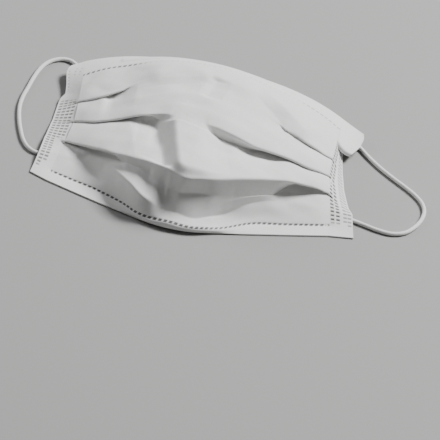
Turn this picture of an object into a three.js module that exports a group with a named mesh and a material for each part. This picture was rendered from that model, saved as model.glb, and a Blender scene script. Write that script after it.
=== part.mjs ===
// A pleated ear-loop face mask lying dome up on a flat surface.
// Millimetres, +Z up; the chin edge is towards -Y, the nose edge towards +Y.
import * as THREE from 'three';

// Cloth
const SHEET_THICKNESS = 1.0;
const HEM_THICKNESS = 1.4;
const BAND_THICKNESS = 1.4;
const LAYER_PITCH = 1.4;
const PLEAT_DEPTH = 10;
const NOSE_HEM_WIDTH = 13.5;
const JOIN_GAP = 0.3;

// Chin edge on the surface: two slopes that meet in a rounded tip
const CHIN_TIP_X = -10;
const CHIN_TIP_Y = -65.8;
const CHIN_SLOPE = 0.33;
const CHIN_ROUNDING = 17;

// Nose edge: an arch over the surface
const NOSE_HALF_WIDTH = 72;
const NOSE_PEAK_X = -3;
const NOSE_Y = 48;
const NOSE_SWEEP = 8;
const NOSE_Z = 17.2;
const NOSE_DROP = 12.5;
const BROW_BULGE_SIDE = 1;
const BROW_BULGE_CENTRE = 4.2;
const BROW_SHARES = [0.25, 0.5, 0.75];

// Least value of 1 + cos(turn) that a mitred fold may have
const SHARPEST_MITRE = 0.6;

// Panels between pleats
const PANEL_BULGE = 0.8;
const PANEL_SHARES = [0.25, 0.5, 0.75];
const OPEN_TUCK_SHARE = 0.3;
const SHUT_DEGREES = THREE.MathUtils.radToDeg(Math.asin((2 * LAYER_PITCH) / PLEAT_DEPTH));
const SNUG_DEGREES = 22;
const AJAR_DEGREES = 40;
const RISER_DEGREES = 90;
const PULLED_DEGREES = 150;

// Widths of the rows, as shares of the width at the pleats
const CHIN_SPREAD = 1.1;
const HEM_SPREAD = 1.09;
const FOLD_SPREAD = 1.06;
const LIP_SPREAD = [1, 1, 1, 1.03];
const NOSE_SPREAD = 1.02;

// Sections across the mask from the left seam to the right seam. Each row gives the inner line of
// the chin hem, the fold of the chin panel, and for pleats 3, 2 and 1 (chin to nose) the lip line
// and the pleat's opening in degrees: about 15 is pressed flat, 90 a riser, 180 pulled out flat.
const SECTION_COLUMNS = ['x', 'hemY', 'hemZ', 'foldY', 'foldZ',
  'lip3Y', 'lip3Z', 'open3', 'lip2Y', 'lip2Z', 'open2', 'lip1Y', 'lip1Z', 'open1'];
const SECTIONS = [
  [-67.5, -41.6, 0.7, -30, 3.2, -21.5, 5.8, 16, -6, 6.6, 16, 9, 7.4, 16],
  [-57, -45, 0.7, -34, 4.6, -28, 10.5, 20, -9.4, 12.2, 20, 9.5, 13.3, 20],
  [-46, -48.5, 0.9, -40, 7.2, -35, 15.5, 30, -9.4, 17, 28, 14.5, 17, 55],
  [-40, -51.5, 1.3, -43.5, 12.2, -38.3, 18, 48, -9, 19.6, 32, 16.8, 19.8, 100],
  [-34, -55, 2, -51.5, 14.2, -41.5, 20.5, 75, -8.5, 22, 36, 19, 22.5, 150],
  [-24, -63.3, 4, -61, 13.5, -46.5, 24, 88, -7.5, 25, 50, 21.5, 25.5, 168],
  [-14, -66, 4.5, -59.7, 7.2, -51, 26, 92, -9, 27, 165, 22, 27, 170],
  [0, -66, 4.5, -60.6, 10.6, -52, 25.5, 95, -12, 28, 160, 20, 28, 170],
  [14, -59.4, 2.4, -52.6, 4.2, -45.5, 23.5, 95, -16, 27, 50, 14, 27.5, 165],
  [28, -48.8, 1, -40.5, 5.6, -38, 21.5, 90, -17.3, 24, 34, 7.5, 24, 120],
  [42, -43.8, 0.7, -33.5, 5.5, -30.5, 18, 55, -16, 20.6, 27, 2.2, 21.5, 32],
  [54, -39.7, 0.7, -31, 4.5, -25.5, 14, 30, -14.5, 16.5, 20, 1, 17, 17],
  [63, -36.5, 0.7, -28, 3.6, -21.5, 8.4, 16, -9.8, 10.6, 16, 2, 12.2, 16],
];
const SECTION_COUNT = 44;

// Side bands: the outer edge of each, from the chin corner to the nose corner
const BAND_SHARES = [0, 0.5, 1];
const BAND_ROWS = ['chin', 'hem', 'fold', 'lip3', 'lip2', 'lip1', 'shoulder', 'browHem', 'nose'];
const LEFT_BAND_EDGE = [
  [-83.4, -45.5, 0.85],
  [-82.6, -38.5, 2.2],
  [-81.6, -30, 3.3],
  [-80, -17, 2.6],
  [-78.4, -2, 0.9],
  [-77.2, 12, 0.9],
  [-75.2, 20, 2.8],
  [-76.6, 32, 4.2],
  [-74.6, 39.5, 4.6],
];
const RIGHT_BAND_EDGE = [
  [81.7, -41.5, 0.85],
  [80.3, -36, 2.4],
  [78.8, -28, 3.4],
  [75.2, -16, 2.2],
  [71.2, -3, 0.9],
  [68.4, 12, 0.9],
  [71.5, 22, 2.8],
  [76.6, 32, 4.0],
  [75.4, 38.5, 4.4],
];

// Ear loops: round elastic cords whose ends are welded under the corners
const CORD_DIAMETER = 2.1;
const CORD_SIDES = 8;
const CORD_STEPS = 44;
const LEFT_LOOP = [
  [-66.5, 34.5, 2.6],
  [-69, 39.5, 2.2],
  [-72.5, 44.8, 1.3],
  [-76.5, 47.6, 1.15],
  [-80.6, 47.4, 1.15],
  [-85, 44.8, 1.15],
  [-88.5, 40.2, 1.15],
  [-91, 34, 1.15],
  [-92.8, 26.5, 1.15],
  [-94.2, 18.6, 1.15],
  [-95.6, 10.8, 1.15],
  [-96, 2.6, 1.15],
  [-94.8, -7, 1.15],
  [-92.8, -15.5, 1.15],
  [-90.4, -22.6, 1.15],
  [-87.4, -27.4, 1.15],
  [-83.6, -30, 1.15],
  [-79.5, -30.2, 1.15],
  [-74.8, -29.6, 1.15],
];
const RIGHT_LOOP = [
  [67.5, 34, 2.6],
  [71.5, 32, 1.9],
  [76, 28.6, 1.3],
  [80.4, 23.8, 1.15],
  [85.6, 18.6, 1.15],
  [91.2, 13.8, 1.15],
  [97, 9.4, 1.15],
  [102.8, 5.2, 1.15],
  [108, 0.8, 1.15],
  [112, -4.2, 1.15],
  [113.8, -10.2, 1.15],
  [113.2, -17, 1.15],
  [110.6, -24, 1.15],
  [106.2, -30, 1.15],
  [100, -32.8, 1.15],
  [92.6, -32.4, 1.15],
  [85.4, -30.6, 1.15],
  [79, -29, 1.15],
  [73.4, -27.6, 1.15],
];

const sectionCurves = new THREE.CubicInterpolant(
  SECTIONS.map((row) => row[0]),
  SECTIONS.flat(),
  SECTION_COLUMNS.length,
);

function sectionAt(x) {
  const values = sectionCurves.evaluate(x);
  return Object.fromEntries(SECTION_COLUMNS.map((name, index) => [name, values[index]]));
}

// A point of a section carries its own x, because the rows differ in width
function point(x, y, z) {
  return new THREE.Vector3(x, y, z);
}

function halfway(a, b) {
  return a.clone().lerp(b, 0.5);
}

function chinPoint(x) {
  const along = x - CHIN_TIP_X;
  const rise = Math.hypot(along, CHIN_ROUNDING) - CHIN_ROUNDING;
  return point(x, CHIN_TIP_Y + CHIN_SLOPE * rise, HEM_THICKNESS / 2);
}

function nosePoint(x) {
  const share = (x - NOSE_PEAK_X) / NOSE_HALF_WIDTH;
  return point(x, NOSE_Y - NOSE_SWEEP * share ** 4, NOSE_Z - NOSE_DROP * share ** 2);
}

// A point at a share of the way from a to b, raised by a bulge that is fullest half way
function bulgedPoint(a, b, share, bulge) {
  const up = point(0, a.z - b.z, b.y - a.y).normalize();
  return a.clone().lerp(b, share).addScaledVector(up, 4 * bulge * share * (1 - share));
}

// A pleat's corners from its root to its lip, and the tuck: the point where the panel that starts
// at the root comes out under the lip. A pressed pleat lies along the panel that comes down from
// the point before it, and one pulled flat leads on to the point after it.
function pleatAt(before, lip, after, tableDegrees) {
  const openDegrees = Math.max(tableDegrees, SHUT_DEGREES);
  const open = THREE.MathUtils.degToRad(openDegrees);
  const arriving = lip.clone().sub(before).setX(0).normalize();
  const leaving = after.clone().sub(lip).setX(0).normalize();
  const flatness = THREE.MathUtils.smoothstep(openDegrees, RISER_DEGREES, PULLED_DEGREES);
  const forward = arriving.lerp(leaving, flatness).normalize();
  const down = point(0, -forward.z, forward.y);
  const riser = down.clone().multiplyScalar(Math.sin(open)).addScaledVector(forward, -Math.cos(open));
  const turn = openDegrees < RISER_DEGREES ? down : riser;
  const root = lip.clone().addScaledVector(riser, PLEAT_DEPTH);
  const underLip = lip.clone().addScaledVector(turn, LAYER_PITCH);
  const overRoot = root.clone().addScaledVector(turn, -LAYER_PITCH);
  const shutTuck = lip.clone().addScaledVector(down, 2 * LAYER_PITCH);
  const openTuck = root.clone().lerp(after, OPEN_TUCK_SHARE);
  const shut = 1 - THREE.MathUtils.smoothstep(openDegrees, SNUG_DEGREES, AJAR_DEGREES);
  return { corners: [root, overRoot, underLip, lip], tuck: openTuck.lerp(shutTuck, shut) };
}

// Inner points of the panel from a lip to the root behind it, the last being the tuck
function panelPoints(lip, pleatBehind) {
  const bulged = PANEL_SHARES.map((share) => bulgedPoint(lip, pleatBehind.tuck, share, PANEL_BULGE));
  return [...bulged, pleatBehind.tuck];
}

// All points of one section, from the chin edge to the nose edge
function sectionPoints(x) {
  const s = sectionAt(x);
  const chin = chinPoint(x * CHIN_SPREAD);
  const hem = point(x * HEM_SPREAD, s.hemY, Math.max(s.hemZ, HEM_THICKNESS / 2));
  const fold = point(x * FOLD_SPREAD, s.foldY, s.foldZ);
  const lip3 = point(x * LIP_SPREAD[3], s.lip3Y, s.lip3Z);
  const lip2 = point(x * LIP_SPREAD[2], s.lip2Y, s.lip2Z);
  const lip1 = point(x * LIP_SPREAD[1], s.lip1Y, s.lip1Z);
  const nose = nosePoint(x * NOSE_SPREAD);

  const arch = 1 - (x / NOSE_HALF_WIDTH) ** 2;
  const browBulge = BROW_BULGE_SIDE + (BROW_BULGE_CENTRE - BROW_BULGE_SIDE) * arch;
  const hemStart = 1 - NOSE_HEM_WIDTH / lip1.distanceTo(nose);
  const brow = BROW_SHARES.map((share) => bulgedPoint(lip1, nose, share * hemStart, browBulge));
  const browHem = bulgedPoint(lip1, nose, hemStart, browBulge);

  const pleat1 = pleatAt(brow[0], lip1, lip2, s.open1);
  const pleat2 = pleatAt(pleat1.tuck, lip2, lip3, s.open2);
  const pleat3 = pleatAt(pleat2.tuck, lip3, fold, s.open3);
  const chinPanelTuck = halfway(fold, pleat3.corners[0]).setX(lip3.x);

  return {
    bottomHem: [chin, halfway(chin, hem), hem],
    body: [
      hem,
      halfway(hem, fold),
      fold,
      chinPanelTuck,
      ...pleat3.corners,
      ...panelPoints(lip3, pleat2),
      ...pleat2.corners,
      ...panelPoints(lip2, pleat1),
      ...pleat1.corners,
      ...brow,
      browHem,
    ],
    topHem: [browHem, halfway(browHem, nose), nose],
    seam: { chin, hem, fold, lip3, lip2, lip1, shoulder: brow[1], browHem, nose },
  };
}

// Offsets of half a unit thickness at every point of a grid of sections, mitred at the folds.
// The rows at a seam are offset within the seam's plane, so that the rims there face each other.
function mitreVectors(grid, seamRows) {
  const sectionNormal = (i, from, to) => {
    const before = grid[Math.max(i - 1, 0)][from];
    const after = grid[Math.min(i + 1, grid.length - 1)][from];
    const across = after.clone().sub(before);
    const along = grid[i][to].clone().sub(grid[i][from]);
    return across.cross(along).normalize();
  };
  return grid.map((row, i) => row.map((_, j) => {
    const first = sectionNormal(i, Math.max(j - 1, 0), Math.max(j, 1));
    const last = row.length - 1;
    const second = sectionNormal(i, Math.min(j, last - 1), Math.min(j + 1, last));
    const sum = first.clone().add(second);
    const mitre = sum.divideScalar(2 * Math.max(1 + first.dot(second), SHARPEST_MITRE));
    return seamRows.includes(i) ? mitre.setX(0) : mitre;
  }));
}

// A closed wall round a grid of mid points: outer face, inner face and rim
function wallGeometry(grid, mitres, thickness) {
  const rows = grid.length;
  const columns = grid[0].length;
  const positions = [];
  for (const side of [1, -1]) {
    grid.forEach((row, i) => row.forEach((mid, j) => {
      const corner = mid.clone().addScaledVector(mitres[i][j], side * thickness);
      positions.push(corner.x, corner.y, corner.z);
    }));
  }
  const outer = (i, j) => i * columns + j;
  const inner = (i, j) => rows * columns + outer(i, j);
  const indices = [];
  const quad = (a, b, c, d) => indices.push(a, b, c, a, c, d);
  for (let i = 0; i < rows - 1; i += 1) {
    for (let j = 0; j < columns - 1; j += 1) {
      quad(outer(i, j), outer(i + 1, j), outer(i + 1, j + 1), outer(i, j + 1));
      quad(inner(i, j), inner(i, j + 1), inner(i + 1, j + 1), inner(i + 1, j));
    }
    quad(outer(i, 0), inner(i, 0), inner(i + 1, 0), outer(i + 1, 0));
    const end = columns - 1;
    quad(outer(i, end), outer(i + 1, end), inner(i + 1, end), inner(i, end));
  }
  for (let j = 0; j < columns - 1; j += 1) {
    quad(outer(0, j), outer(0, j + 1), inner(0, j + 1), inner(0, j));
    const end = rows - 1;
    quad(outer(end, j), inner(end, j), inner(end, j + 1), outer(end, j + 1));
  }
  const geometry = new THREE.BufferGeometry();
  geometry.setAttribute('position', new THREE.Float32BufferAttribute(positions, 3));
  geometry.setIndex(indices);
  geometry.computeVertexNormals();
  return geometry;
}

// Move one end of every row inwards by half the gap that neighbouring pieces keep
function trimEnds(grid, atStart, atEnd) {
  return grid.map((row) => row.map((mid, j) => {
    const neighbour = j === 0 && atStart ? row[1] : j === row.length - 1 && atEnd ? row[j - 1] : null;
    if (!neighbour) return mid;
    const inward = neighbour.clone().sub(mid).normalize();
    return mid.clone().addScaledVector(inward, JOIN_GAP / 2);
  }));
}

function cordGeometry(route) {
  const path = new THREE.CatmullRomCurve3(route.map((p) => new THREE.Vector3(...p)), false, 'centripetal');
  const ring = [];
  for (let side = 0; side < CORD_SIDES; side += 1) {
    const angle = ((side + 0.5) / CORD_SIDES) * 2 * Math.PI;
    const radius = CORD_DIAMETER / 2;
    ring.push(new THREE.Vector2(radius * Math.cos(angle), radius * Math.sin(angle)));
  }
  return new THREE.ExtrudeGeometry(new THREE.Shape(ring), {
    steps: CORD_STEPS,
    extrudePath: path,
    bevelEnabled: false,
  });
}

// Side band: a strip from the seam to the outer edge
function bandGrid(seam, edge, outward) {
  const columns = BAND_SHARES.map((share) => BAND_ROWS.map((name, index) => {
    const inner = seam[name].clone().setX(seam[name].x + outward * JOIN_GAP);
    return inner.lerp(point(...edge[index]), share);
  }));
  return outward > 0 ? columns : columns.reverse();
}

const clothMaterial = new THREE.MeshStandardMaterial({ color: 0xe4e4e2, roughness: 0.9, metalness: 0 });
const hemMaterial = new THREE.MeshStandardMaterial({ color: 0xebebe9, roughness: 0.85, metalness: 0 });
const bandMaterial = new THREE.MeshStandardMaterial({ color: 0xdededc, roughness: 0.8, metalness: 0 });
const elasticMaterial = new THREE.MeshStandardMaterial({ color: 0xf0f0ee, roughness: 0.75, metalness: 0 });

function namedMesh(name, geometry, material) {
  const mesh = new THREE.Mesh(geometry, material);
  mesh.name = name;
  return mesh;
}

// The whole pleated sheet is offset as one, then parted into body and hems along the weld lines
const firstX = SECTIONS[0][0];
const lastX = SECTIONS[SECTIONS.length - 1][0];
const sections = [];
for (let i = 0; i < SECTION_COUNT; i += 1) {
  sections.push(sectionPoints(THREE.MathUtils.lerp(firstX, lastX, i / (SECTION_COUNT - 1))));
}
const hemEnd = sections[0].bottomHem.length - 1;
const bodyEnd = hemEnd + sections[0].body.length - 1;
const sheetGrid = sections.map((s) => [...s.bottomHem, ...s.body.slice(1), ...s.topHem.slice(1)]);
const sheetMitres = mitreVectors(sheetGrid, [0, SECTION_COUNT - 1]);

function sheetPiece(from, to, thickness) {
  const last = sheetGrid[0].length - 1;
  const part = sheetGrid.map((row) => row.slice(from, to + 1));
  const mitres = sheetMitres.map((row) => row.slice(from, to + 1));
  return wallGeometry(trimEnds(part, from > 0, to < last), mitres, thickness);
}

function bandPiece(seam, edge, outward) {
  const grid = bandGrid(seam, edge, outward);
  const seamRow = outward > 0 ? 0 : grid.length - 1;
  return wallGeometry(grid, mitreVectors(grid, [seamRow]), BAND_THICKNESS);
}

const mask = new THREE.Group();
mask.add(namedMesh('bottom_hem', sheetPiece(0, hemEnd, HEM_THICKNESS), hemMaterial));
mask.add(namedMesh('mask_body', sheetPiece(hemEnd, bodyEnd, SHEET_THICKNESS), clothMaterial));
mask.add(namedMesh('top_hem', sheetPiece(bodyEnd, sheetGrid[0].length - 1, HEM_THICKNESS), hemMaterial));
mask.add(namedMesh('side_band_left', bandPiece(sections[0].seam, LEFT_BAND_EDGE, -1), bandMaterial));
const rightSeam = sections[sections.length - 1].seam;
mask.add(namedMesh('side_band_right', bandPiece(rightSeam, RIGHT_BAND_EDGE, 1), bandMaterial));

// The origin is under the middle of the cloth, on the surface that the mask lies on
const clothBox = new THREE.Box3().setFromObject(mask);
const clothCentre = clothBox.getCenter(new THREE.Vector3());
mask.add(namedMesh('ear_loop_left', cordGeometry(LEFT_LOOP), elasticMaterial));
mask.add(namedMesh('ear_loop_right', cordGeometry(RIGHT_LOOP), elasticMaterial));
mask.position.set(-clothCentre.x, -clothCentre.y, -clothBox.min.z);

export default mask;
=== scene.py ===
import math

import bpy
import numpy as np
from mathutils import Matrix, Vector


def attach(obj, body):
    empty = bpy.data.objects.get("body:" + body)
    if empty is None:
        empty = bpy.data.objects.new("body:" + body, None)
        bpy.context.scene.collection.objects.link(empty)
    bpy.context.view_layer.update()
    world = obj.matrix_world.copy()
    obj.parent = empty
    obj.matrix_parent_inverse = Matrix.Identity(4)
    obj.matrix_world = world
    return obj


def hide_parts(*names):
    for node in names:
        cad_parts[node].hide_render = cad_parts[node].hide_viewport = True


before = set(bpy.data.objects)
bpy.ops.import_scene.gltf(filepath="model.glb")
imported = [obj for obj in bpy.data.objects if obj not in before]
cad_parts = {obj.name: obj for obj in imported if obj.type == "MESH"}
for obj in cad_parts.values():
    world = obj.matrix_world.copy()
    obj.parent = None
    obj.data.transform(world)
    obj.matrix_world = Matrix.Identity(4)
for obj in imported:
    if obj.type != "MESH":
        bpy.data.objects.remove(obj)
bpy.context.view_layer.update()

# The shape tables are in millimetres, from a point of the surface that lies here in the part's frame
MM = 0.001
TABLE_ORIGIN = np.array([0.853, 9.447, 0.0])

# Camera: the photo's angle on a 440 by 440 frame
PHOTO_ELEVATION = math.radians(39)
PHOTO_ROLL = math.radians(12.4)
PHOTO_WIDTH = 0.220
PHOTO_TARGET = Vector((0.01545, -0.04055, 0))
CAMERA_DISTANCE = 8
SENSOR_WIDTH = 36
CLIP_END = 100

# Cloth: how far its outside and inside lie from the modelled surface, and how far apart a pleat's layers are
HALF_SHEET = 0.25
HEM_BELOW = 0.65
BAND_BELOW = 0.55
LAYER_PITCH = 0.95

# Seams at the side bands: the gap beside the sheet, the share to which the weld presses the pleats' layers
# together, and how far from the seam that is felt
SEAM_GAP = 0.04
SEAM_PITCH_SHARE = 0.6
SEAM_PRESS_REACH = 14

# Chin edge and nose edge
CHIN_TIP_X = -10
CHIN_TIP_Y = -65.8
CHIN_SLOPE = 0.33
CHIN_ROUNDING = 17
CHIN_Z = 0.7
NOSE_HALF_WIDTH = 72
NOSE_PEAK_X = -3
NOSE_Y = 48
NOSE_SWEEP = 8
NOSE_Z = 17.2
NOSE_DROP = 12.5
NOSE_HEM_WIDTH = 13.5
BROW_BULGE_SIDE = 1
BROW_BULGE_CENTRE = 4.2

# Panels and pleats: the usual depth, and how a pleat's form changes with the angle that it is open
PANEL_BULGE = 0.8
PLEAT_DEPTH = 10
FIRST_BROW_SHARE = 0.25
OPEN_TUCK_SHARE = 0.3
CHIN_TUCK_SHARE = 0.5
SNUG_DEGREES = 22
AJAR_DEGREES = 40
RISER_DEGREES = 90
PULLED_DEGREES = 166

# Widths of the rows, as shares of the width at the pleats
CHIN_SPREAD = 1.1
HEM_SPREAD = 1.09
FOLD_SPREAD = 1.06
LIP3_SPREAD = 1.03
NOSE_SPREAD = 1.02

# Sections from the left seam to the right seam: chin weld line, fold of the chin panel, and the lip
# lines of pleats 3, 2 and 1
SECTION_COLUMNS = ("x", "hem_y", "hem_z", "fold_y", "fold_z", "lip3_y", "lip3_z",
                   "lip2_y", "lip2_z", "lip1_y", "lip1_z")
SECTIONS = np.array([
    (-67.5, -41.6, 0.7, -30, 3.2, -21.5, 5.2, -6, 6.6, 9, 7.4),
    (-57, -45, 0.7, -34, 4.6, -28, 10.5, -9.4, 12.2, 9.5, 13.3),
    (-46, -48.5, 0.9, -40, 7.2, -35, 15.5, -9.4, 17, 14.5, 17),
    (-40, -51.5, 1.3, -43.5, 12.2, -38.3, 18, -9, 19.6, 16.8, 19.8),
    (-34, -55, 2, -51.5, 14.2, -41.5, 20.5, -8.5, 22, 19, 22.5),
    (-24, -63.3, 4, -61, 13.5, -46.5, 24, -7.5, 25, 21.5, 25.5),
    (-19.5, -65, 4.3, -61.6, 11.6, -48.7, 24.9, -8.2, 26.1, 21.9, 26.2),
    (-13, -66, 4.6, -60, 6.8, -51.4, 25.4, -9.2, 27, 21.8, 27),
    (-6.5, -66.2, 4.6, -60.2, 6.3, -54, 25.6, -10.4, 27.6, 21.2, 27.6),
    (0, -66, 4.5, -60, 5.2, -52.3, 25.2, -12, 28, 20, 28),
    (14, -59.4, 2.4, -50.6, 2.8, -45.5, 23.5, -16, 27, 14, 27.5),
    (28, -48.8, 1, -40.5, 5.6, -38, 21.5, -17.3, 24, 7.5, 24),
    (42, -43.8, 0.7, -33.2, 6.4, -30.2, 17.8, -16, 20.6, 2.2, 21.5),
    (54, -39.7, 0.7, -30.6, 5.6, -24.2, 12.8, -14.5, 16.5, 1, 17),
    (63, -36.5, 0.7, -28, 3.6, -19.5, 7.2, -9.8, 10.6, 2, 12.2),
])
FIRST_X = SECTIONS[0, 0]
LAST_X = SECTIONS[-1, 0]

# How far each pleat is open, in degrees, and how deep it is, in millimetres, at these x
PLEAT_VALUES = {
    "open3": [(-67.5, 7), (-57, 14), (-48, 24), (-42, 48), (-36, 86), (-24, 92), (-14, 166), (-8, 166),
              (0, 146), (8, 120), (18, 97), (28, 92), (36, 86), (44, 52), (54, 26), (63, 7)],
    "open2": [(-67.5, 7), (-57, 17), (-46, 26), (-36, 36), (-29, 60), (-19, 160), (-3, 150), (3, 115),
              (10, 96), (18, 76), (28, 44), (42, 27), (54, 18), (63, 7)],
    "open1": [(-67.5, 7), (-57, 22), (-51, 46), (-46, 50), (-36, 52), (36, 30), (44, 20), (54, 15), (63, 7)],
    "depth3": [(-67.5, 10), (-50, 10), (-42, 7), (-36, 4.5), (-30, 5), (-22, 8.5), (-14, 10), (63, 10)],
    "depth2": [(-67.5, 10), (-46, 9), (-32, 5), (-22, 3.2), (-16, 0.6), (-5, 0.6), (1, 4), (6, 5.4),
               (14, 5.2), (24, 7), (36, 10), (63, 10)],
    "depth1": [(-67.5, 10), (-58, 9.5), (-51, 7), (-45, 3), (-40, 0.5), (26, 0.5), (33, 2), (42, 8),
               (50, 10), (63, 10)],
}

# Pleats 1 and 2 run out where they are shallower than the first depth, and stay where deeper than the second
RUN_OUT_DEPTH1 = (1, 5)
RUN_OUT_DEPTH2 = (0.8, 3)

# Side bands: the row of the seam, the place where it meets the outer edge, and the steps to the next row.
# A number is a share of the brow panel, from lip 1 to the nose edge.
LEFT_BAND = [
    ("chin", (-83.4, -45.5, 0.7), 24),
    ("hem", (-82.3, -38.5, 1.6), 28),
    ("fold", (-81.2, -30, 3.1), 30),
    ("under_lip3", (-80.2, -18.3, 2.3), 4),
    ("lip3", (-79.9, -16.5, 2.1), 44),
    ("tuck2", (-78.6, -4, 0.95), 4),
    ("lip2", (-78.3, -2, 0.9), 40),
    ("tuck1", (-77.6, 8.5, 0.95), 6),
    ("lip1", (-77.4, 11.5, 1.1), 8),
    (0.09, (-77.1, 14.6, 1.4), 8),
    (0.16, (-76, 17.3, 2), 6),
    (0.22, (-74.9, 18.7, 2.6), 16),
    (0.40, (-75.5, 25.5, 3.4), 20),
    (0.66, (-76.8, 33.4, 4.4), 10),
    (0.80, (-76.4, 36.8, 4.9), 8),
    (0.90, (-75.4, 38.6, 5.2), 8),
    (1.0, (-73.6, 39.9, 5.4), 0),
]
RIGHT_BAND = [
    ("chin", (81.7, -42.2, 0.7), 24),
    ("hem", (80.4, -36, 1.8), 28),
    ("fold", (78.9, -27.5, 3.2), 24),
    ("under_lip3", (76.5, -22.4, 2.1), 4),
    ("lip3", (75.9, -20.6, 1.8), 40),
    ("tuck2", (72.8, -9.4, 0.95), 4),
    ("lip2", (72.3, -7.6, 0.9), 40),
    ("tuck1", (70.1, 3.8, 0.9), 4),
    ("lip1", (69.7, 5.8, 0.9), 30),
    (0.32, (68.2, 15.5, 1.1), 20),
    ("below_flap", (67.5, 24.5, 1.6), 0),
]
BELOW_FLAP = (64.3, 25.5, 6.6)

# Flap at the right nose corner, rolled under along its lower edge: share of the brow panel at the seam,
# place on the outer edge and steps to the next row
RIGHT_FLAP = [
    (0.42, (72.8, 19.1, 4.6), 18),
    (0.60, (75.6, 25.8, 4.1), 16),
    (0.84, (76.7, 32.2, 4.4), 10),
    (1.0, (76.2, 35.6, 4.8), 0),
]
FLAP_SAG = 1.5
FLAP_ROLL = 1.15
FLAP_ROLL_TURN = math.radians(165)
FLAP_ROLL_ROWS = 12

# Ear loops: round elastic cords whose ends are welded under the corners
CORD_DIAMETER = 2.1
LEFT_LOOP = [
    (-66.5, 34.5, 2.6),
    (-69, 39.5, 2.2),
    (-72.5, 44.8, 1.3),
    (-76.5, 47.6, 1.15),
    (-80.6, 47.4, 1.15),
    (-85, 44.8, 1.15),
    (-88.5, 40.2, 1.15),
    (-91, 34, 1.15),
    (-92.8, 26.5, 1.15),
    (-94.2, 18.6, 1.15),
    (-95.6, 10.8, 1.15),
    (-96, 2.6, 1.15),
    (-94.8, -7, 1.15),
    (-92.8, -15.5, 1.15),
    (-90.4, -22.6, 1.15),
    (-87.4, -27.4, 1.15),
    (-83.6, -30, 1.15),
    (-79.5, -30.2, 1.15),
    (-74.8, -29.6, 1.15),
]
RIGHT_LOOP = [
    (67.5, 34, 2.6),
    (71.5, 32, 1.9),
    (76, 28.6, 1.3),
    (80.4, 23.8, 1.15),
    (85.6, 18.6, 1.15),
    (91.2, 13.8, 1.15),
    (97, 9.4, 1.15),
    (102.8, 5.2, 1.15),
    (108, 0.8, 1.15),
    (112, -4.2, 1.15),
    (113.8, -10.2, 1.15),
    (113.2, -17, 1.15),
    (110.6, -24, 1.15),
    (106.2, -30, 1.15),
    (100, -32.8, 1.15),
    (92.6, -32.4, 1.15),
    (85.4, -30.6, 1.15),
    (79, -29, 1.15),
    (73.4, -27.6, 1.15),
]


# Small helpers on arrays of points

def between(a, b, share):
    return a + (b - a) * share


def unit(vectors):
    return vectors / np.linalg.norm(vectors, axis=-1, keepdims=True)


def ease(value, low, high):
    """0 below low, 1 above high and a smooth step between."""
    share = np.clip((value - low) / (high - low), 0, 1)
    return share * share * (3 - 2 * share)


def window(value, low, high, soft):
    """1 between low and high and 0 outside, with soft ends."""
    return ease(value, low - soft, low + soft) * (1 - ease(value, high - soft, high + soft))


def to_metres(points):
    return (np.asarray(points, float) + TABLE_ORIGIN) * MM


def lengths_along(points):
    """Distance of each point from the first, along the line."""
    steps = np.linalg.norm(np.diff(points, axis=0), axis=1)
    return np.concatenate([[0], np.cumsum(steps)])


def smooth_line(points, spacing):
    """A centripetal curve through the points, as points about one spacing apart."""
    points = np.asarray(points, float)
    ends = [2 * points[0] - points[1]], [2 * points[-1] - points[-2]]
    padded = np.vstack([ends[0], points, ends[1]])
    knots = np.concatenate([[0], np.cumsum(np.sqrt(np.linalg.norm(np.diff(padded, axis=0), axis=1)))])
    curve = []
    for i in range(1, len(padded) - 2):
        a, b, c, d = padded[i - 1:i + 3]
        ta, tb, tc, td = knots[i - 1:i + 3]
        count = max(2, math.ceil(np.linalg.norm(c - b) / spacing))
        t = np.linspace(tb, tc, count, endpoint=False)[:, None]
        ab = (tb - t) / (tb - ta) * a + (t - ta) / (tb - ta) * b
        bc = (tc - t) / (tc - tb) * b + (t - tb) / (tc - tb) * c
        cd = (td - t) / (td - tc) * c + (t - tc) / (td - tc) * d
        abc = (tc - t) / (tc - ta) * ab + (t - ta) / (tc - ta) * bc
        bcd = (td - t) / (td - tb) * bc + (t - tb) / (td - tb) * cd
        curve.append((tc - t) / (tc - tb) * abc + (t - tb) / (tc - tb) * bcd)
    return np.vstack([*curve, points[-1:]])


# Camera

def make_camera():
    data = bpy.data.cameras.new("camera")
    data.sensor_width = SENSOR_WIDTH
    data.lens = SENSOR_WIDTH * CAMERA_DISTANCE / PHOTO_WIDTH
    data.clip_end = CLIP_END
    camera = bpy.data.objects.new("camera", data)
    back = Vector((0, -math.cos(PHOTO_ELEVATION), math.sin(PHOTO_ELEVATION)))
    up = Vector((0, math.sin(PHOTO_ELEVATION), math.cos(PHOTO_ELEVATION)))
    right = Vector((1, 0, 0))
    rolled_right = right * math.cos(PHOTO_ROLL) + up * math.sin(PHOTO_ROLL)
    rolled_up = up * math.cos(PHOTO_ROLL) - right * math.sin(PHOTO_ROLL)
    turn = Matrix((rolled_right, rolled_up, back)).transposed().to_4x4()
    camera.matrix_world = Matrix.Translation(PHOTO_TARGET + back * CAMERA_DISTANCE) @ turn
    bpy.context.collection.objects.link(camera)
    bpy.context.scene.camera = camera


make_camera()


# Meshes: edges that turn by more than this are sharp, and this many millimetres are one unit of the UV map

RIM_ANGLE = math.radians(70)
FLAT_UNIT = 100


def grid_normals(grid):
    across = np.gradient(grid, axis=0)
    along = np.gradient(grid, axis=1)
    return unit(np.cross(across, along))


def joined(*meshes):
    """One set of points, faces, flat places and marks from several."""
    firsts = np.cumsum([0] + [len(points) for points, _, _, _ in meshes])
    faces = np.concatenate([mesh[1] + first for mesh, first in zip(meshes, firsts)])
    return (np.concatenate([mesh[0] for mesh in meshes]), faces,
            np.concatenate([mesh[2] for mesh in meshes]), np.concatenate([mesh[3] for mesh in meshes]))


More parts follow.
